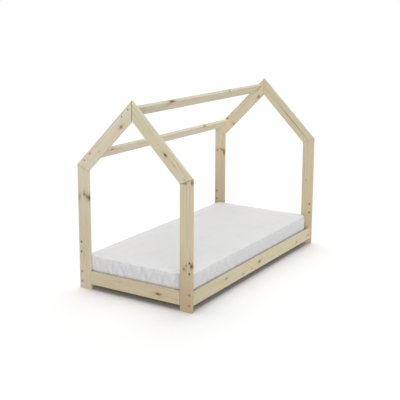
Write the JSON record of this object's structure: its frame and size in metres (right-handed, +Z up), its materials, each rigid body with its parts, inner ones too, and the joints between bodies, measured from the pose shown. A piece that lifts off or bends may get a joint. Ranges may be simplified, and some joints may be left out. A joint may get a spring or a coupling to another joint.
{
  "type": "house frame bed",
  "caption": "Low child's bed with a house-shaped frame of flat pine boards, two gables, side rails, roof boards on one slope, slatted base and quilted mattress.",
  "frame": {"origin": "on the floor, under the middle of the bed", "axes": "+X along the bed from the front gable to the back gable, +Y from the open side to the wall side, +Z up"},
  "size_m": [1.96, 0.978, 1.4183],
  "materials": {
    "pine": "matte",
    "dowel_wood": "matte",
    "zinc_plated_steel": "satin",
    "tape": "matte",
    "mattress_fabric": "matte",
    "mattress_foam": "matte"
  },
  "bodies": {
    "frame": {"front_open_post": "pine", "front_wall_post": "pine", "front_open_rafter": "pine", "front_wall_rafter": "pine", "front_end_board": "pine", "back_open_post": "pine", "back_wall_post": "pine", "back_open_rafter": "pine", "back_wall_rafter": "pine", "back_end_board": "pine", "open_side_rail": "pine", "wall_side_rail": "pine", "eave_board": "pine", "ridge_board": "pine", "open_side_ledge": "pine", "wall_side_ledge": "pine", "slat_01": "pine", "slat_02": "pine", "slat_03": "pine", "slat_04": "pine", "slat_05": "pine", "slat_06": "pine", "slat_07": "pine", "slat_08": "pine", "slat_09": "pine", "slat_10": "pine", "slat_11": "pine", "slat_12": "pine", "slat_13": "pine", "slat_14": "pine", "slat_15": "pine", "eave_dowels": "dowel_wood", "ridge_dowels": "dowel_wood", "end_board_dowels": "dowel_wood", "rail_bolts": "zinc_plated_steel", "roof_bolts": "zinc_plated_steel", "rail_barrel_nuts": "zinc_plated_steel", "roof_barrel_nuts": "zinc_plated_steel", "ledge_screws": "zinc_plated_steel", "slat_screws": "zinc_plated_steel", "tape_staples": "zinc_plated_steel", "open_side_tape": "tape", "wall_side_tape": "tape"},
    "mattress": {"mattress_cover": "mattress_fabric", "mattress_core": "mattress_foam"}
  },
  "joints": [
    {"name": "mattress_lift", "type": "slide", "parent": "frame", "child": "mattress", "axis": [0, 0, 1], "range_m": [0, 0.3]}
  ]
}
